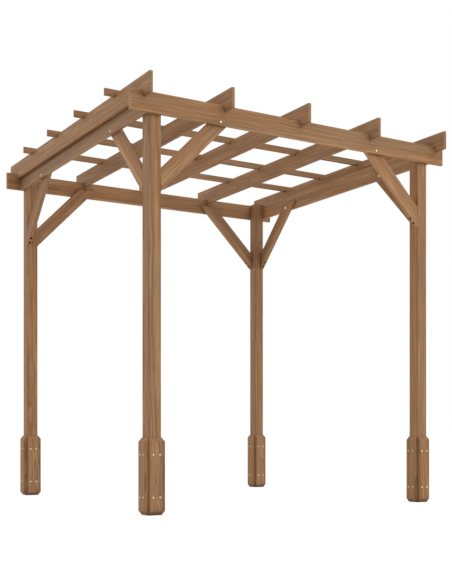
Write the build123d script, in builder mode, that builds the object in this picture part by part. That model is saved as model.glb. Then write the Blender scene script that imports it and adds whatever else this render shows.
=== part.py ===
# Wooden pergola: four posts with boarded feet, beams, knee braces, notched rafters and laths.
# Frame: origin on the ground under the middle of the roof, +Z up, front beam on the -Y side,
# +X to the right for somebody who faces the front. Sizes are in millimetres.
from build123d import *
import os

os.makedirs("parts", exist_ok=True)

# posts
post_side = 92
post_span_x = 2300
post_span_y = 2319
posts_shift_y = -20
post_ease = 3

# boards around the foot of each post
foot_thick = 29
foot_height = 507
foot_flat = 3

# beams
beam_thick = 26
beam_depth = 136
beam_low = 2613
beam_overhang = 189
board_ease = 2

# rafters: outer ones by the posts' middle lines, inner ones spread between them
rafter_thick = 25
rafter_depth = 135
rafter_overhang = 194
rafter_lap = 39
rafter_out_left = 91
rafter_out_right = 118
rafter_shift = -17
seat_clearance = 0.5

# laths: outer ones set in from the posts' middle lines, spread evenly between
lath_thick = 18
lath_depth = 49
lath_sink = 23
lath_overhang = 182
lath_inset_front = 351.5
lath_inset_back = 346
slot_clearance = 0.5

# knee braces
brace_thick = 28
brace_width = 106
brace_rise = 561
brace_drop = 70

# sizes that follow
half = post_side / 2
beam_top = beam_low + beam_depth
rafter_low = beam_top - rafter_lap
rafter_top = rafter_low + rafter_depth
lath_low = rafter_top - lath_sink
beam_length = post_span_x + 2 * beam_overhang
left_x = -post_span_x / 2
right_x = post_span_x / 2
front_y = posts_shift_y - post_span_y / 2
back_y = posts_shift_y + post_span_y / 2
rafter_length = post_span_y + 2 * rafter_overhang
first_rafter = left_x - rafter_out_left
last_rafter = right_x + rafter_out_right
rafter_pitch = (last_rafter - first_rafter) / 4
rafter_x = [first_rafter]
rafter_x += [first_rafter + i * rafter_pitch + rafter_shift for i in (1, 2, 3)]
rafter_x += [last_rafter]
lath_length = post_span_x + 2 * lath_overhang
first_lath = front_y + lath_inset_front
last_lath = back_y - lath_inset_back
lath_y = [first_lath + i * (last_lath - first_lath) / 3 for i in range(4)]
brace_top_z = beam_top - brace_drop
brace_foot_z = brace_top_z - brace_rise
corners = {
    "front_left": (left_x, front_y, 1, 1),
    "front_right": (right_x, front_y, -1, 1),
    "back_left": (left_x, back_y, 1, -1),
    "back_right": (right_x, back_y, -1, -1),
}


def save(builder, name):
    builder.part.label = name
    export_step(builder.part, "parts/" + name + ".step")


# Posts: square timber, top level with the beams
for name, (x, y, sx, sy) in corners.items():
    with BuildPart() as post:
        with BuildSketch(Plane.XY):
            with Locations((x, y)):
                Rectangle(post_side, post_side)
        extrude(amount=beam_top)
        chamfer(post.edges().filter_by(Axis.Z), length=post_ease)
    save(post, "post_" + name)

# Foot boards: one on each side of each post, bevelled at the top and the bottom
sides = {"front": (0, -1), "back": (0, 1), "left": (-1, 0), "right": (1, 0)}
bevel = foot_thick - foot_flat
for name, (x, y, sx, sy) in corners.items():
    for side, (nx, ny) in sides.items():
        face = Plane(
            origin=(x + nx * half, y + ny * half, 0),
            x_dir=(nx, ny, 0),
            z_dir=(ny, -nx, 0),
        )
        with BuildPart() as foot:
            with BuildSketch(face):
                with BuildLine():
                    Polyline(
                        (0, 0),
                        (foot_flat, 0),
                        (foot_thick, bevel),
                        (foot_thick, foot_height - bevel),
                        (foot_flat, foot_height),
                        (0, foot_height),
                        close=True,
                    )
                make_face()
            extrude(amount=half, both=True)
        save(foot, "foot_" + name + "_" + side)

# Front and back beams: boards on edge, bolted to the outer faces of the posts
for name, y in (
    ("front_beam", front_y - half - beam_thick / 2),
    ("back_beam", back_y + half + beam_thick / 2),
):
    with BuildPart() as beam:
        with BuildSketch(Plane.YZ):
            with Locations((y, beam_low + beam_depth / 2)):
                Rectangle(beam_thick, beam_depth)
        extrude(amount=beam_length / 2, both=True)
        chamfer(beam.edges().filter_by(Axis.X), length=board_ease)
    save(beam, name)

# Side beams: on the outer faces of the posts, butted between the front and back beams
for name, x in (
    ("left_side_beam", left_x - half - beam_thick / 2),
    ("right_side_beam", right_x + half + beam_thick / 2),
):
    with BuildPart() as side_beam:
        with BuildSketch(Plane.XZ.offset(-posts_shift_y)):
            with Locations((x, beam_low + beam_depth / 2)):
                Rectangle(beam_thick, beam_depth)
        extrude(amount=post_span_y / 2 + half, both=True)
        chamfer(side_beam.edges().filter_by(Axis.Y), length=board_ease)
    save(side_beam, name)

# Rafters: boards on edge, notched below over both beams and slotted above for the laths
notch_width = beam_thick + 2 * seat_clearance
slot_width = lath_thick + 2 * slot_clearance
for i, x in enumerate(rafter_x):
    with BuildPart() as rafter:
        with BuildSketch(Plane.XZ):
            with Locations((x, rafter_low + rafter_depth / 2)):
                Rectangle(rafter_thick, rafter_depth)
        extrude(amount=rafter_length / 2, both=True)
        chamfer(rafter.edges().filter_by(Axis.Y), length=board_ease)
        with BuildSketch(Plane.YZ.offset(x)):
            with Locations(
                (front_y - half - beam_thick / 2, rafter_low + rafter_lap / 2),
                (back_y + half + beam_thick / 2, rafter_low + rafter_lap / 2),
            ):
                Rectangle(notch_width, rafter_lap)
            with Locations(*[(y, rafter_top - lath_sink / 2) for y in lath_y]):
                Rectangle(slot_width, lath_sink)
        extrude(amount=rafter_thick, both=True, mode=Mode.SUBTRACT)
    save(rafter, "rafter_" + str(i + 1))

# Laths: battens on edge across the rafters, dropped into the slots
for i, y in enumerate(lath_y):
    with BuildPart() as lath:
        with BuildSketch(Plane.YZ):
            with Locations((y, lath_low + lath_depth / 2)):
                Rectangle(lath_thick, lath_depth)
        extrude(amount=lath_length / 2, both=True)
        chamfer(lath.edges().filter_by(Axis.X), length=board_ease)
    save(lath, "lath_" + str(i + 1))

# Knee braces: two at each post at 45 degrees; the lower end is cut upright to butt the
# post, the upper end is cut level and lies on the inner face of the beam
rise = brace_width * 2 ** 0.5
brace_outline = [
    (half, brace_foot_z),
    (half + brace_top_z - brace_foot_z, brace_top_z),
    (half + brace_top_z - brace_foot_z - rise, brace_top_z),
    (half, brace_foot_z + rise),
]
inset = half - brace_thick / 2
for name, (x, y, sx, sy) in corners.items():
    with BuildPart() as brace_x:
        with BuildSketch(Plane.XZ.offset(-(y - sy * inset))):
            with BuildLine():
                Polyline(*[(x + sx * s, z) for s, z in brace_outline], close=True)
            make_face()
        extrude(amount=brace_thick / 2, both=True)
    save(brace_x, "brace_" + name + "_along_beam")
    with BuildPart() as brace_y:
        with BuildSketch(Plane.YZ.offset(x - sx * inset)):
            with BuildLine():
                Polyline(*[(y + sy * s, z) for s, z in brace_outline], close=True)
            make_face()
        extrude(amount=brace_thick / 2, both=True)
    save(brace_y, "brace_" + name + "_along_side")
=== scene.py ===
# Wooden pergola in stained softwood: posts with boarded feet, beams, rafters, laths and braces.
# Metres, +Z up, front beam on the -Y side.
import math

import bmesh
import bpy
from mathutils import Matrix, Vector


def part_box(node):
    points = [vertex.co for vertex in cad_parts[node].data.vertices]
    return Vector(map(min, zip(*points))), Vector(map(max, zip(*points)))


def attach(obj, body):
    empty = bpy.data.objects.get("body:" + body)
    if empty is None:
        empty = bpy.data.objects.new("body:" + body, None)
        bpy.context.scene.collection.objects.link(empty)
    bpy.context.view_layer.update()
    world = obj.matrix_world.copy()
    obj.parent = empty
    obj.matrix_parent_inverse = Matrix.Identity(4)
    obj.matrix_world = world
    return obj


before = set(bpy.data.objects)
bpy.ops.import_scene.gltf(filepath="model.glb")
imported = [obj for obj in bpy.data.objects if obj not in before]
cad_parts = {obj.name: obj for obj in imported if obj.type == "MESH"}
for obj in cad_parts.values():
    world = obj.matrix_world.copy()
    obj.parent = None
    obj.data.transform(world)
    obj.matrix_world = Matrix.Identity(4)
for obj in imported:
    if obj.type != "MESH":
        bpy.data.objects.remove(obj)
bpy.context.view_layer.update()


# Posts. Four square softwood posts with eased corners, planed and stained mid brown.
# Their grain runs upright, and their tops are cut level with the beams.
CORNERS = ("front_left", "front_right", "back_left", "back_right")
# each post's shade lightens or darkens its stain, partly as painted light and shade
POST_SHADES = (0.99, 1.02, 0.98, 0.94)
POST_PITHS = ((0.035, -0.020), (-0.050, 0.030), (0.060, 0.020), (0.020, 0.055))
POST_KNOTS = (0.6, 0.3, 0.5, 0.15)
STAIN_LIGHT = (0.456, 0.270, 0.134, 1)
STAIN_MIDDLE = (0.303, 0.161, 0.071, 1)
STAIN_DARK = (0.156, 0.076, 0.030, 1)

# for a timber that lies along each axis: how its grain is turned to run along it, and its axes
# in the order of length, width and thickness
LENGTHWAYS = {
    "x": ((0.0, 0.0, 0.0), (0, 1, 2)),
    "y": ((0.0, 0.0, math.radians(90)), (1, 0, 2)),
    "z": ((0.0, math.radians(-90), 0.0), (2, 1, 0)),
}


def new_group(name, inputs, outputs):
    """Makes a shader group with the given sockets, and returns it with its two end nodes."""
    tree = bpy.data.node_groups.new(name, "ShaderNodeTree")
    for label, kind, value in inputs:
        socket = tree.interface.new_socket(label, in_out="INPUT", socket_type=kind)
        if value is not None:
            socket.default_value = value
    for label, kind in outputs:
        tree.interface.new_socket(label, in_out="OUTPUT", socket_type=kind)
    return tree, tree.nodes.new("NodeGroupInput"), tree.nodes.new("NodeGroupOutput")


def put(tree, kind, links=(), **settings):
    """Adds a node, with a value or another node's output on each socket that links names."""
    node = tree.nodes.new(kind)
    for key, value in settings.items():
        setattr(node, key, value)
    for socket, source in links:
        if hasattr(source, "is_output"):
            tree.links.new(source, node.inputs[socket])
        else:
            node.inputs[socket].default_value = source
    return node


def maths(tree, operation, *values):
    return put(tree, "ShaderNodeMath", enumerate(values), operation=operation).outputs[0]


def times(tree, one, two):
    return maths(tree, "MULTIPLY", one, two)


def vector_maths(tree, operation, *values):
    node = put(tree, "ShaderNodeVectorMath", enumerate(values), operation=operation)
    return node.outputs["Value" if operation == "LENGTH" else "Vector"]


def span(tree, value, low, high, to_low=0.0, to_high=1.0, smooth=True):
    """Takes low..high to to_low..to_high, and holds what lies outside."""
    links = ((0, value), (1, low), (2, high), (3, to_low), (4, to_high))
    kind = "SMOOTHSTEP" if smooth else "LINEAR"
    return put(tree, "ShaderNodeMapRange", links, interpolation_type=kind).outputs[0]


def blend_colours(tree, factor, one, two, kind="MIX"):
    links = ((0, factor), (6, one), (7, two))
    node = put(tree, "ShaderNodeMix", links, data_type="RGBA", blend_type=kind)
    return node.outputs[2]


def tinted(tree, colour, tint):
    return blend_colours(tree, 1.0, colour, tint, "MULTIPLY")


def clouds(tree, vector, per_metre, detail, roughness=0.55):
    """Soft noise with so many clouds a metre along each axis."""
    place = vector_maths(tree, "MULTIPLY", vector, per_metre)
    links = (("Vector", place), ("Scale", 1.0), ("Detail", detail), ("Roughness", roughness))
    return put(tree, "ShaderNodeTexNoise", links, noise_dimensions="3D").outputs[0]


def make_timber_grain():
    """Stained softwood with its grain along X: knots, growth rings, streaks, pores and fibres."""
    tree, given, out = new_group(
        "timber_grain",
        (
            ("Vector", "NodeSocketVector", None),
            ("Seed", "NodeSocketFloat", 0.0),
            ("Light", "NodeSocketColor", STAIN_LIGHT),
            ("Middle", "NodeSocketColor", STAIN_MIDDLE),
            ("Dark", "NodeSocketColor", STAIN_DARK),
            ("Pith Y", "NodeSocketFloat", 0.05),
            ("Pith Z", "NodeSocketFloat", 0.03),
            ("Pith Lean", "NodeSocketFloat", 0.02),
            ("Ring Spacing", "NodeSocketFloat", 0.0075),
            ("Figure", "NodeSocketFloat", 0.6),
            ("Wander", "NodeSocketFloat", 0.030),
            ("Knots", "NodeSocketFloat", 0.6),
        ),
        (
            ("Color", "NodeSocketColor"),
            ("Roughness", "NodeSocketFloat"),
            ("Height", "NodeSocketFloat"),
        ),
    )
    wood = given.outputs

    # each timber reads another part of the clouds, set by its seed
    drift = put(tree, "ShaderNodeCombineXYZ", (
        (0, times(tree, wood["Seed"], 7.13)),
        (1, times(tree, wood["Seed"], 3.71)),
        (2, times(tree, wood["Seed"], 5.37)),
    )).outputs[0]
    place = vector_maths(tree, "ADD", wood["Vector"], drift)

    # knots: drawn-out spots where a branch left the trunk, in some of the cells only
    cell = put(tree, "ShaderNodeTexVoronoi", (
        ("Vector", vector_maths(tree, "MULTIPLY", place, (1.5, 8.0, 8.0))),
        ("Scale", 1.0),
    ))
    from_knot = cell.outputs["Distance"]
    chance = put(tree, "ShaderNodeSeparateColor", ((0, cell.outputs["Color"]),)).outputs[0]
    knotty = maths(tree, "GREATER_THAN", chance, 0.45)
    swirl = times(tree, span(tree, from_knot, 0.34, 0.06), knotty)
    core = times(tree, span(tree, from_knot, 0.125, 0.075), knotty)
    core = times(tree, core, wood["Knots"])

    # growth rings round a pith that lies outside or inside the timber, pushed out by the knots
    along, across, up = put(tree, "ShaderNodeSeparateXYZ", ((0, wood["Vector"]),)).outputs
    pith_z = maths(tree, "ADD", wood["Pith Z"], times(tree, along, wood["Pith Lean"]))
    from_pith = put(tree, "ShaderNodeCombineXYZ", (
        (0, 0.0),
        (1, maths(tree, "SUBTRACT", across, wood["Pith Y"])),
        (2, maths(tree, "SUBTRACT", up, pith_z)),
    )).outputs[0]
    radius = vector_maths(tree, "LENGTH", from_pith)
    wander = clouds(tree, place, per_metre=(1.6, 7.0, 7.0), detail=2.0)
    radius = maths(tree, "ADD", radius, times(tree, wander, wood["Wander"]))
    radius = maths(tree, "ADD", radius, times(tree, swirl, 0.010))
    season = maths(tree, "FRACT", maths(tree, "DIVIDE", radius, wood["Ring Spacing"]))
    late_wood = times(tree, span(tree, season, 0.25, 0.85), span(tree, season, 1.0, 0.88))

    # long streaks of stain, open pores, broad tone along the timber, warm patches and fine fibres
    streak = clouds(tree, place, per_metre=(1.1, 82.0, 82.0), detail=4.0, roughness=0.68)
    streak = span(tree, streak, 0.34, 0.66)
    pores = clouds(tree, place, per_metre=(5.0, 200.0, 200.0), detail=3.0, roughness=0.6)
    pores = span(tree, pores, 0.44, 0.62)
    tone = clouds(tree, place, per_metre=(0.8, 13.0, 13.0), detail=2.0)
    tone = span(tree, tone, 0.34, 0.68)
    elsewhere = vector_maths(tree, "ADD", place, (3.1, 9.7, 4.3))
    warm = clouds(tree, elsewhere, per_metre=(0.7, 26.0, 26.0), detail=2.0)
    warm = span(tree, warm, 0.40, 0.66)
    fibre = clouds(tree, place, per_metre=(16.0, 620.0, 620.0), detail=2.0)

    # colour, from the stain in the softwood to the dark heart of a knot
    colour = blend_colours(tree, streak, wood["Middle"], wood["Light"])
    colour = blend_colours(tree, times(tree, tone, 0.20), colour, wood["Dark"])
    colour = blend_colours(tree, times(tree, pores, 0.38), colour, wood["Dark"])
    reddish = tinted(tree, colour, (1.13, 0.94, 0.76, 1))
    colour = blend_colours(tree, times(tree, warm, 0.8), colour, reddish)
    ringed = tinted(tree, colour, (0.62, 0.54, 0.46, 1))
    colour = blend_colours(tree, times(tree, late_wood, wood["Figure"]), colour, ringed)
    pale = span(tree, fibre, 0.25, 0.75, to_low=0.86, to_high=1.14, smooth=False)
    fibres = put(tree, "ShaderNodeCombineColor", ((0, pale), (1, pale), (2, pale))).outputs[0]
    colour = tinted(tree, colour, fibres)
    halo = tinted(tree, colour, (0.78, 0.68, 0.58, 1))
    shaded = times(tree, swirl, times(tree, wood["Knots"], 0.7))
    colour = blend_colours(tree, shaded, colour, halo)
    colour = blend_colours(tree, core, colour, (0.085, 0.040, 0.018, 1))

    # pale streaks are duller and knots smoother; fibres and knots stand up, late wood lies lower
    rough = maths(tree, "ADD", 0.56, times(tree, streak, 0.12))
    rough = maths(tree, "SUBTRACT", rough, times(tree, core, 0.12))
    height = maths(tree, "ADD", times(tree, fibre, 0.55), times(tree, late_wood, -0.35))
    height = maths(tree, "ADD", height, times(tree, core, 0.5))
    tree.links.new(colour, out.inputs["Color"])
    tree.links.new(rough, out.inputs["Roughness"])
    tree.links.new(height, out.inputs["Height"])
    return tree


def make_worn_and_highlit_edges():
    """Tints a colour along the long edges of a timber, in a ragged band of the given width: a darker tint
    is wear, a paler one is a painted highlight.
    """
    tree, given, out = new_group(
        "worn_and_highlit_edges",
        (
            ("Vector", "NodeSocketVector", None),
            ("Half Size", "NodeSocketVector", None),
            ("Width", "NodeSocketFloat", 0.004),
            ("Wear And Highlight", "NodeSocketFloat", 0.5),
            ("Upper Share", "NodeSocketFloat", 1.0),
            ("Tint", "NodeSocketColor", (0.70, 0.64, 0.58, 1)),
            ("Color", "NodeSocketColor", (1, 1, 1, 1)),
        ),
        (("Color", "NodeSocketColor"),),
    )
    wood = given.outputs

    # an edge is where two of the three distances to the faces are small
    from_middle = vector_maths(tree, "ABSOLUTE", wood["Vector"])
    past_faces = vector_maths(tree, "SUBTRACT", from_middle, wood["Half Size"])
    x_gap, y_gap, z_gap = put(tree, "ShaderNodeSeparateXYZ", ((0, past_faces),)).outputs
    lesser = maths(tree, "MINIMUM", x_gap, y_gap)
    greater = maths(tree, "MAXIMUM", x_gap, y_gap)
    second = maths(tree, "MAXIMUM", lesser, maths(tree, "MINIMUM", greater, z_gap))
    ragged = clouds(tree, wood["Vector"], per_metre=(14.0, 60.0, 60.0), detail=3.0)
    depth = times(tree, second, -1.0)
    depth = maths(tree, "SUBTRACT", depth, times(tree, ragged, wood["Width"]))
    edge = span(tree, depth, wood["Width"], 0.0)

    # the upper edges can be tinted more or less than the lower ones, which keeps the painted highlight on
    # the beams to their lower edges
    height = put(tree, "ShaderNodeSeparateXYZ", ((0, wood["Vector"]),)).outputs[2]
    upper = span(tree, height, 0.0, 0.04, to_low=1.0, to_high=wood["Upper Share"])
    tinted_edges = times(tree, times(tree, edge, wood["Wear And Highlight"]), upper)
    colour = blend_colours(tree, tinted_edges, wood["Color"], tinted(tree, wood["Color"], wood["Tint"]))
    tree.links.new(colour, out.inputs["Color"])
    return tree


timber_grain = make_timber_grain()
worn_and_highlit_edges = make_worn_and_highlit_edges()


def stain(name, seed, lengthways, rings, half_size=None, shade=1.0, pith=(0.05, 0.03),
          lean=0.02, figure=0.55, wander=0.030, knots=0.6, edge_tint=(0.72, 0.66, 0.60),
          wear_and_highlight=(0.004, 0.5, 1.0), ground_shade_height=0.0):
    """Gives one timber its own stained wood, with the grain along it.

    lengthways is "x", "y" or "z", or the turn of a slanting timber, which needs its half_size.
    The growth rings lie rings apart round the pith, which leans by lean; they are as dark as
    figure and wander sideways by wander. The edge triple gives the width of the tinted edges,
    how strongly they are tinted, and how much of that is on the upper ones; a darker tint is
    wear, a paler one, as on the beams, is a painted highlight. Below the given ground height,
    the wood is darkened as painted shade.
    """
    low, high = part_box(name)
    turn = lengthways
    if lengthways in LENGTHWAYS:
        turn, axes = LENGTHWAYS[lengthways]
        half_size = [(high - low)[i] / 2 for i in axes]
    material = bpy.data.materials.new(name + "_stained")
    material.use_nodes = True
    tree = material.node_tree
    tree.nodes.clear()
    where = put(tree, "ShaderNodeTexCoord").outputs["Object"]
    centred = put(tree, "ShaderNodeMapping", (
        ("Vector", where),
        ("Location", (low + high) / 2),
        ("Rotation", turn),
    ), vector_type="TEXTURE").outputs[0]

    # the stained grain, lighter or darker by shade, which is set for each piece and is partly painted light
    # and shade, with edges tinted as wear and, on the beams, as a painted highlight
    light, middle, dark = (
        tuple(part * shade for part in stain_colour[:3]) + (1,)
        for stain_colour in (STAIN_LIGHT, STAIN_MIDDLE, STAIN_DARK)
    )
    grain = put(tree, "ShaderNodeGroup", node_tree=timber_grain)
    for label, value in (
        ("Light", light), ("Middle", middle), ("Dark", dark), ("Seed", seed), ("Pith Y", pith[0]),
        ("Pith Z", pith[1]), ("Pith Lean", lean), ("Ring Spacing", rings), ("Figure", figure),
        ("Wander", wander), ("Knots", knots),
    ):
        grain.inputs[label].default_value = value
    tree.links.new(centred, grain.inputs["Vector"])
    edges = put(tree, "ShaderNodeGroup", node_tree=worn_and_highlit_edges)
    edges.inputs["Half Size"].default_value = half_size
    edges.inputs["Tint"].default_value = (*edge_tint, 1)
    for label, value in zip(("Width", "Wear And Highlight", "Upper Share"), wear_and_highlight):
        edges.inputs[label].default_value = value
    tree.links.new(centred, edges.inputs["Vector"])
    tree.links.new(grain.outputs["Color"], edges.inputs["Color"])
    colour = edges.outputs["Color"]

    # painted shade in the corners between timbers, darker where they hide each other from the light, and
    # painted shade low down near the ground
    corner = put(tree, "ShaderNodeAmbientOcclusion", (("Distance", 0.10),), samples=8)
    painted_crease_shade = span(tree, corner.outputs["AO"], 0.25, 0.90, to_low=0.52, to_high=0.0)
    colour = blend_colours(tree, painted_crease_shade, colour, tinted(tree, colour, (0.42, 0.33, 0.25, 1)))
    if ground_shade_height:
        height = put(tree, "ShaderNodeSeparateXYZ", ((0, where),)).outputs[2]
        painted_ground_shade = span(tree, height, ground_shade_height, 0.0)
        colour = blend_colours(tree, painted_ground_shade, colour, tinted(tree, colour, (0.42, 0.37, 0.34, 1)))

    bump = put(tree, "ShaderNodeBump", (
        ("Height", grain.outputs["Height"]),
        ("Strength", 0.45),
        ("Distance", 0.0008),
    ))
    surface = put(tree, "ShaderNodeBsdfPrincipled", (
        ("Base Color", colour),
        ("Roughness", grain.outputs["Roughness"]),
        ("Normal", bump.outputs[0]),
        ("Specular IOR Level", 0.35),
    ))
    output = put(tree, "ShaderNodeOutputMaterial")
    tree.links.new(surface.outputs[0], output.inputs[0])
    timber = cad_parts[name]
    timber.data.materials.clear()
    timber.data.materials.append(material)


for i, corner in enumerate(CORNERS):
    stain("post_" + corner, 1.0 + i * 2.3, "z", rings=0.013, figure=0.75,
          shade=POST_SHADES[i], pith=POST_PITHS[i], knots=POST_KNOTS[i], wear_and_highlight=(0.006, 0.6, 1.0))


# Foot boards. Four short boards round the foot of each post, bevelled all along the top and
# the bottom, of the same stained softwood, darkened low down with painted shade where they
# stand on the ground.
SIDES = {"front": (0, -1, 0), "back": (0, 1, 0), "left": (-1, 0, 0), "right": (1, 0, 0)}
FOOT_SHADES = (1.0, 0.97, 1.03, 0.99)

for i, corner in enumerate(CORNERS):
    for k, side in enumerate(SIDES):
        stain("foot_%s_%s" % (corner, side), 20.0 + i * 5.1 + k * 1.3, "z",
              rings=0.0085, figure=0.8, shade=FOOT_SHADES[(i + k) % 4],
              pith=(0.045, 0.012 * (k - 1.5)), lean=0.10, wander=0.05, ground_shade_height=0.020)


# Foot screws. Four cross-recessed screws hold each foot board, with domed heads that stand just
# proud. Plated steel, bright on the front and back boards; on the left and right a darker copy
# of it is painted shade.
SCREW_OUT = 0.0245
SCREW_HEIGHTS = (0.117, 0.395)
SCREW_RADIUS = 0.0062
FULL_TURN = 6.283


def metal(name, colour, roughness, spots):
    """A brushed metal, whose colour is multiplied by spots where it is mottled."""
    material = bpy.data.materials.new(name)
    material.use_nodes = True
    tree = material.node_tree
    tree.nodes.clear()
    where = put(tree, "ShaderNodeTexCoord").outputs["Object"]
    mottle = clouds(tree, where, per_metre=(900.0, 900.0, 900.0), detail=3.0)
    brushed = clouds(tree, where, per_metre=(3000.0, 3000.0, 400.0), detail=2.0)
    dull = tuple(part * spots for part in colour[:3]) + (1,)
    shade = blend_colours(tree, span(tree, mottle, 0.35, 0.75), colour, dull)
    rough = maths(tree, "ADD", roughness, times(tree, mottle, 0.18))
    bump = put(tree, "ShaderNodeBump", (
        ("Height", brushed),
        ("Strength", 0.2),
        ("Distance", 0.0001),
    ))
    surface = put(tree, "ShaderNodeBsdfPrincipled", (
        ("Base Color", shade),
        ("Roughness", rough),
        ("Normal", bump.outputs[0]),
        ("Metallic", 1.0),
    ))
    output = put(tree, "ShaderNodeOutputMaterial")
    tree.links.new(surface.outputs[0], output.inputs[0])
    return material


def cross_recess(work, rim_loop, top, arm, slit, depth):
    """Sinks a tapered cross into the flat top inside a loop of corners."""
    plus = ((arm, -slit), (arm, slit), (slit, slit), (slit, arm), (-slit, arm), (-slit, slit),
            (-arm, slit), (-arm, -slit), (-slit, -slit), (-slit, -arm), (slit, -arm), (slit, -slit))
    taper = 0.6
    rim = [work.verts.new((x, y, top)) for x, y in plus]
    base = [work.verts.new((x * taper, y * taper, top - depth)) for x, y in plus]
    edges = []
    for i, corner in enumerate(rim):
        j = (i + 1) % len(rim)
        edges.append(work.edges.new((corner, rim[j])))
        work.faces.new((rim[j], corner, base[i], base[j]))
    work.faces.new(base)
    edges += [work.edges.get((one, two)) for one, two in zip(rim_loop, rim_loop[1:] + rim_loop[:1])]
    bmesh.ops.bridge_loops(work, edges=edges)


def turned(name, profile, sides, cross=None):
    """A head turned round +Z from (radius, height) pairs, with a cross recess in its top if asked."""
    work = bmesh.new()
    loops = []
    for radius, height in profile:
        angles = [2 * math.pi * (i + 0.5) / sides for i in range(sides)]
        loops.append([work.verts.new((radius * math.cos(a), radius * math.sin(a), height)) for a in angles])
    for lower, upper in zip(loops, loops[1:]):
        for i in range(sides):
            j = (i + 1) % sides
            work.faces.new((lower[i], lower[j], upper[j], upper[i]))
    work.faces.new(list(reversed(loops[0])))
    if cross:
        cross_recess(work, loops[-1], profile[-1][1], *cross)
    else:
        work.faces.new(loops[-1])
    bmesh.ops.recalc_face_normals(work, faces=work.faces)
    mesh = bpy.data.meshes.new(name)
    work.to_mesh(mesh)
    work.free()
    head = bpy.data.objects.new(name, mesh)
    bpy.context.scene.collection.objects.link(head)
    return head


def make_fastener_tree():
    """Sets a copy of the head on each point, with its own +Z along the point's facing."""
    tree = bpy.data.node_groups.new("fasteners_on_points", "GeometryNodeTree")
    add = tree.interface.new_socket
    add("Points", in_out="INPUT", socket_type="NodeSocketGeometry")
    add("Head", in_out="INPUT", socket_type="NodeSocketObject")
    add("Size", in_out="INPUT", socket_type="NodeSocketFloat")
    add("Turn", in_out="INPUT", socket_type="NodeSocketFloat")
    add("Seed", in_out="INPUT", socket_type="NodeSocketInt")
    add("Finish", in_out="INPUT", socket_type="NodeSocketMaterial")
    add("Geometry", in_out="OUTPUT", socket_type="NodeSocketGeometry")
    given = tree.nodes.new("NodeGroupInput").outputs
    out = tree.nodes.new("NodeGroupOutput")
    head = put(tree, "GeometryNodeObjectInfo", (("Object", given["Head"]),))
    facing = put(tree, "GeometryNodeInputNamedAttribute", (
        ("Name", "facing"),
    ), data_type="FLOAT_VECTOR")
    aim = put(tree, "FunctionNodeAlignRotationToVector", (
        ("Vector", facing.outputs[0]),
    ), axis="Z")
    angle = put(tree, "FunctionNodeRandomValue", (
        ("Max", given["Turn"]),
        ("Seed", given["Seed"]),
    ), data_type="FLOAT")
    twist = put(tree, "FunctionNodeAxisAngleToRotation", (
        ("Axis", (0, 0, 1)),
        ("Angle", angle.outputs[1]),
    ))
    both = put(tree, "FunctionNodeRotateRotation", (
        ("Rotation", aim.outputs[0]),
        ("Rotate By", twist.outputs[0]),
    ), rotation_space="LOCAL")
    copies = put(tree, "GeometryNodeInstanceOnPoints", (
        ("Points", given["Points"]),
        ("Instance", head.outputs["Geometry"]),
        ("Rotation", both.outputs[0]),
        ("Scale", given["Size"]),
    ))
    real = put(tree, "GeometryNodeRealizeInstances", (("Geometry", copies.outputs[0]),))
    finish = put(tree, "GeometryNodeSetMaterial", (
        ("Geometry", real.outputs[0]),
        ("Material", given["Finish"]),
    ))
    tree.links.new(finish.outputs[0], out.inputs[0])
    return tree


fasteners_on_points = make_fastener_tree()


def fasten(name, places, head, finish, seed=1):
    """Puts one head at each (place, facing) and keeps the result as a plain mesh piece."""
    mesh = bpy.data.meshes.new(name)
    mesh.from_pydata([place for place, facing in places], [], [])
    facings = mesh.attributes.new("facing", "FLOAT_VECTOR", "POINT")
    facings.data.foreach_set("vector", [part for place, facing in places for part in facing])
    piece = bpy.data.objects.new(name, mesh)
    bpy.context.scene.collection.objects.link(piece)
    modifier = piece.modifiers.new("heads", "NODES")
    modifier.node_group = fasteners_on_points
    given = {"Head": head, "Size": 1.0, "Turn": FULL_TURN, "Seed": seed, "Finish": finish}
    for item in fasteners_on_points.interface.items_tree:
        if item.in_out == "INPUT" and item.name in given:
            modifier[item.identifier] = given[item.name]
    bpy.context.view_layer.update()
    evaluated = piece.evaluated_get(bpy.context.evaluated_depsgraph_get())
    done = bpy.data.meshes.new_from_object(evaluated)
    piece.modifiers.clear()
    piece.data = done
    piece.data.name = name
    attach(piece, "root")


bright_metal = metal("yellow_zinc_plated_steel", (1.0, 0.85, 0.65, 1), roughness=0.38, spots=0.92)
# a darker copy of the same plated steel, painted shade for heads that face the sides
painted_shade_steel = metal("zinc_plated_steel_painted_shade", (0.85, 0.66, 0.48, 1), roughness=0.30, spots=0.85)
screw_head = turned("screw_head", (
    (SCREW_RADIUS, 0.0),
    (SCREW_RADIUS, 0.0008),
    (SCREW_RADIUS * 0.90, 0.0019),
    (SCREW_RADIUS * 0.66, 0.0026),
), sides=18, cross=(SCREW_RADIUS * 0.48, SCREW_RADIUS * 0.12, 0.0016))


def foot_screw_places(corner, side):
    """Four places on the outer face of a foot board, and the way that they face."""
    low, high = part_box("foot_%s_%s" % (corner, side))
    facing = Vector(SIDES[side])
    face = (low + high) / 2 + (high - low) / 2 * facing
    across = Vector((-facing.y, facing.x, 0))
    for step in (-SCREW_OUT, SCREW_OUT):
        for height in SCREW_HEIGHTS:
            spot = face + across * step
            spot.z = height
            yield spot, facing


for corner in CORNERS:
    # the screws on the left and right boards take the darker copy, as painted shade
    for seed_step, sides, finish in (
        (0, ("front", "back"), bright_metal),
        (5, ("left", "right"), painted_shade_steel),
    ):
        places = [place for side in sides for place in foot_screw_places(corner, side)]
        fasten("foot_screws_%s_%s_%s" % (corner, *sides), places, screw_head, finish,
               seed=len(corner) + seed_step)
bpy.data.objects.remove(screw_head)


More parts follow.
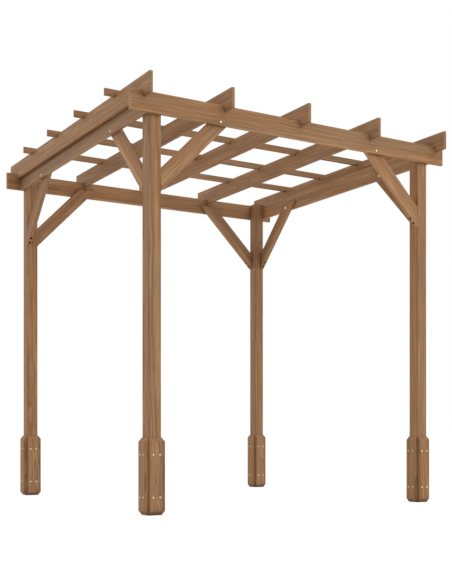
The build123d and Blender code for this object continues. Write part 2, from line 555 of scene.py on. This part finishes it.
# Beams. Softwood boards on edge, bolted to the outer faces of the posts: the front and back
# ones run past the corners, the side ones are butted between them. Their lower edges are pale
# with a painted highlight.
# for each beam: the axis that it lies along, its shade, which is partly painted light and shade, the place
# of its pith and its knots
BEAMS = {
    "front_beam": ("x", 1.02, (0.03, 0.09), 0.6),
    "back_beam": ("x", 0.96, (-0.02, -0.10), 0.3),
    "left_side_beam": ("y", 0.87, (0.03, 0.08), 0.6),
    "right_side_beam": ("y", 1.05, (0.02, -0.09), 0.6),
}

for i, (name, (lengthways, shade, pith, knots)) in enumerate(BEAMS.items()):
    stain(name, 50.0 + i * 3.7, lengthways, rings=0.008, shade=shade, pith=pith,
          knots=knots, edge_tint=(1.32, 1.42, 1.52), wear_and_highlight=(0.007, 0.7, 0.1))


# Rafters. Five softwood boards on edge from front to back, notched below over both beams and
# slotted above for the laths.
RAFTER_SHADES = (1.0, 0.97, 0.98, 0.97, 1.0)

for i, shade in enumerate(RAFTER_SHADES):
    stain("rafter_%d" % (i + 1), 70.0 + i * 2.9, "y", rings=0.008, shade=shade,
          pith=(0.05, (-1) ** i * 0.03))


# Laths. Four softwood battens on edge across the rafters, dropped into the slots in the
# rafters' top edges. They are a little darker than the boards, partly by their stain and partly
# as painted shade.
LATH_COUNT = 4
LATH_SHADE = 0.90

for i in range(LATH_COUNT):
    stain("lath_%d" % (i + 1), 90.0 + i * 1.9, "x", rings=0.007, shade=LATH_SHADE,
          pith=(0.03, (-1) ** i * 0.05))


# Knee braces. Eight short softwood boards at 45 degrees, two at each post. The lower end is cut
# upright and butts the post, the upper end is cut level and lies on the beam's inner face.
BRACE_THICK = 0.028
BRACE_WIDTH = 0.106
# longer than a brace, so that the worn edges run to its cut ends and not across them
BRACE_WORN_LENGTH = 1.2
# for each corner: the shades of the brace along the beam and of the one along the side, partly painted
# light and shade
BRACE_SHADES = {
    "front_left": (1.14, 1.15),
    "front_right": (1.28, 1.00),
    "back_left": (1.15, 0.95),
    "back_right": (1.06, 1.00),
}
# for each corner: the way inwards along X and along Y
INWARD = {
    "front_left": (1, 1),
    "front_right": (-1, 1),
    "back_left": (1, -1),
    "back_right": (-1, -1),
}

brace_half_size = (BRACE_WORN_LENGTH / 2, BRACE_THICK / 2, BRACE_WIDTH / 2)
for i, corner in enumerate(CORNERS):
    inward_x, inward_y = INWARD[corner]
    shade_x, shade_y = BRACE_SHADES[corner]
    slope_x = (0.0, math.radians(-45 if inward_x > 0 else -135), 0.0)
    slope_y = (0.0, math.radians(-45), math.radians(90 * inward_y))
    stain("brace_%s_along_beam" % corner, 110.0 + i * 4.3, slope_x, rings=0.008,
          half_size=brace_half_size, shade=shade_x, pith=(0.05, 0.02 * inward_x))
    stain("brace_%s_along_side" % corner, 110.0 + i * 4.3 + 2.1, slope_y, rings=0.008,
          half_size=brace_half_size, shade=shade_y, pith=(0.05, 0.02 * inward_y))


# Brace bolts. One bolt through the upper end of each brace and the beam, with a domed head
# outside and a washer and a nut inside. Plated steel, with darker copies as painted shade on the
# heads on the side beams and on the nuts inside the front and back beams; at the back left
# corner the nuts inside are brown.
BOLT_HEIGHT = 2.635
WASHER_THICK = 0.0015
# for each corner: how far inwards of the post's middle line the two bolts are
BOLT_OUT = {
    "front_left": (0.485, 0.500),
    "front_right": (0.471, 0.483),
    "back_left": (0.477, 0.454),
    "back_right": (0.477, 0.477),
}

# a still darker copy of the plated steel, painted shade for the nuts inside the front and back beams
painted_deep_shade_steel = metal("zinc_plated_steel_painted_deep_shade", (0.42, 0.33, 0.25, 1), roughness=0.40, spots=0.8)
# a brown steel for the nuts inside at the back left corner
brown_metal = metal("wood_brown_steel", (0.45, 0.27, 0.15, 1), roughness=0.55, spots=0.8)
bolt_head = turned("bolt_head", (
    (0.0078, 0.0),
    (0.0077, 0.0010),
    (0.0070, 0.0024),
    (0.0055, 0.0037),
    (0.0035, 0.0045),
    (0.0013, 0.0048),
), sides=24)
washer = turned("washer", (
    (0.0120, 0.0),
    (0.0120, 0.0012),
    (0.0115, WASHER_THICK),
    (0.0050, WASHER_THICK),
), sides=24)
nut = turned("nut", (
    (0.0066, 0.0),
    (0.0075, 0.0010),
    (0.0075, 0.0055),
    (0.0066, 0.0065),
    (0.0042, 0.0065),
), sides=6)
bolt_end = turned("bolt_end", (
    (0.0040, 0.0),
    (0.0040, 0.0110),
    (0.0034, 0.0118),
), sides=16)


def braces_at(corner):
    """For each brace at a post: its name's end, the axis that it runs along and its way inwards,
    the axis through its beam and its way outwards, and the beam's name."""
    inward_x, inward_y = INWARD[corner]
    front_or_back, left_or_right = corner.split("_")
    yield "along_beam", 0, inward_x, 1, -inward_y, front_or_back + "_beam"
    yield "along_side", 1, inward_y, 0, -inward_x, left_or_right + "_side_beam"


for corner in CORNERS:
    post_low, post_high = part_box("post_" + corner)
    post_middle = (post_low + post_high) / 2
    for (way, along, inward, through, outward, beam), out in zip(braces_at(corner), BOLT_OUT[corner]):
        low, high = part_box("brace_%s_%s" % (corner, way))
        beam_low, beam_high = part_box(beam)
        outer = Vector((0, 0, BOLT_HEIGHT))
        outer[along] = post_middle[along] + inward * out
        inner = outer.copy()
        outer[through] = (beam_high if outward > 0 else beam_low)[through]
        inner[through] = (low if outward > 0 else high)[through]
        facing = Vector((0, 0, 0))
        facing[through] = outward
        on_washer = inner - facing * WASHER_THICK
        # the darker copies are painted shade, set by the way that each head or nut faces
        outside = bright_metal if way == "along_beam" else painted_shade_steel
        inside = painted_deep_shade_steel if way == "along_beam" else bright_metal
        if corner == "back_left":
            inside = brown_metal
        end = "%s_%s" % (corner, way)
        fasten("brace_bolt_" + end, [(outer, facing)], bolt_head, outside)
        fasten("brace_washer_" + end, [(inner, -facing)], washer, inside)
        fasten("brace_nut_" + end, [(on_washer, -facing)], nut, inside)
        fasten("brace_bolt_end_" + end, [(on_washer, -facing)], bolt_end, inside)
for head in (bolt_head, washer, nut, bolt_end):
    bpy.data.objects.remove(head)


# Brace screws. Two large cross-recessed screws go up through the lower end of each brace into
# the post, at right angles to the brace. Dark browned steel.
BRACE_SCREW_STEPS = (0.028, 0.060)

dark_metal = metal("browned_steel", (0.006, 0.001, 0.0002, 1), roughness=0.65, spots=0.6)
dark_screw = turned("dark_screw", (
    (0.0092, 0.0),
    (0.0092, 0.0010),
    (0.0080, 0.0024),
    (0.0058, 0.0030),
), sides=18, cross=(0.0034, 0.0009, 0.0018))

for corner in CORNERS:
    places = []
    for way, along, inward, through, outward, beam in braces_at(corner):
        low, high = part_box("brace_%s_%s" % (corner, way))
        foot = (low if inward > 0 else high)[along]
        downwards = Vector((0, 0, -1))
        downwards[along] = inward
        for step in BRACE_SCREW_STEPS:
            under = Vector((0, 0, low.z + step))
            under[along] = foot + inward * step
            under[through] = (low[through] + high[through]) / 2
            places.append((under, downwards.normalized()))
    fasten("brace_screws_" + corner, places, dark_screw, dark_metal)
bpy.data.objects.remove(dark_screw)


# Studio. A plain pale floor and a soft white surround, with one broad lamp from above the
# front, a little to the right. Where the camera sees them, floor and surround are white.
FLOOR_REACH = 60.0
WHITE = (1, 1, 1, 1)


def seen_in_picture(tree):
    """1 for rays from the camera and for those that gloss or glass sends on, otherwise 0."""
    path = put(tree, "ShaderNodeLightPath").outputs
    sent_on = maths(tree, "MAXIMUM", path["Is Glossy Ray"], path["Is Transmission Ray"])
    return maths(tree, "MAXIMUM", path["Is Camera Ray"], sent_on)


floor_mesh = bpy.data.meshes.new("floor")
floor_mesh.from_pydata([
    (-FLOOR_REACH, -FLOOR_REACH, 0),
    (FLOOR_REACH, -FLOOR_REACH, 0),
    (FLOOR_REACH, FLOOR_REACH, 0),
    (-FLOOR_REACH, FLOOR_REACH, 0),
], [], [(0, 1, 2, 3)])
floor = bpy.data.objects.new("floor", floor_mesh)
bpy.context.scene.collection.objects.link(floor)

# the floor's paint lights the object from below; where the floor is seen, thinner paint keeps
# the object's shadow and a glow lifts it to white
pale = bpy.data.materials.new("pale_floor")
pale.use_nodes = True
tree = pale.node_tree
tree.nodes.clear()
paint = put(tree, "ShaderNodeBsdfDiffuse", ((0, (0.85, 0.85, 0.85, 1)),))
thin_paint = put(tree, "ShaderNodeBsdfDiffuse", ((0, (0.50, 0.50, 0.50, 1)),))
glow = put(tree, "ShaderNodeEmission", ((0, WHITE), (1, 0.62)))
white_floor = put(tree, "ShaderNodeAddShader", ((0, thin_paint.outputs[0]), (1, glow.outputs[0])))
choice = put(tree, "ShaderNodeMixShader", (
    (0, seen_in_picture(tree)),
    (1, paint.outputs[0]),
    (2, white_floor.outputs[0]),
))
tree.links.new(choice.outputs[0], put(tree, "ShaderNodeOutputMaterial").inputs[0])
floor_mesh.materials.append(pale)

world = bpy.data.worlds.new("studio")
bpy.context.scene.world = world
world.use_nodes = True
tree = world.node_tree
tree.nodes.clear()
soft = put(tree, "ShaderNodeBackground", ((0, WHITE), (1, 0.90)))
white = put(tree, "ShaderNodeBackground", ((0, WHITE), (1, 1.0)))
choice = put(tree, "ShaderNodeMixShader", (
    (0, seen_in_picture(tree)),
    (1, soft.outputs[0]),
    (2, white.outputs[0]),
))
tree.links.new(choice.outputs[0], put(tree, "ShaderNodeOutputWorld").inputs[0])

lamp = bpy.data.lights.new("key_lamp", "SUN")
lamp.energy = 0.45
lamp.angle = math.radians(40)
stand = bpy.data.objects.new("key_lamp", lamp)
shines_towards = Vector((-0.25, 0.85, -0.50))
stand.rotation_euler = shines_towards.to_track_quat("-Z", "Y").to_euler()
bpy.context.scene.collection.objects.link(stand)

# the photograph's camera: low, level and looking to the right, with the frame shifted up
camera = bpy.data.objects.new("camera", bpy.data.cameras.new("camera"))
camera.location = (-4.0508, -6.9877, 0.5588)
camera.rotation_euler = (math.radians(90), 0, math.radians(-30.843))
camera.data.sensor_width = 36.0
camera.data.lens = 60.853
camera.data.shift_y = 0.23555
camera.data.clip_end = 300.0
bpy.context.scene.collection.objects.link(camera)
bpy.context.scene.camera = camera
bpy.context.scene.view_settings.view_transform = "Standard"
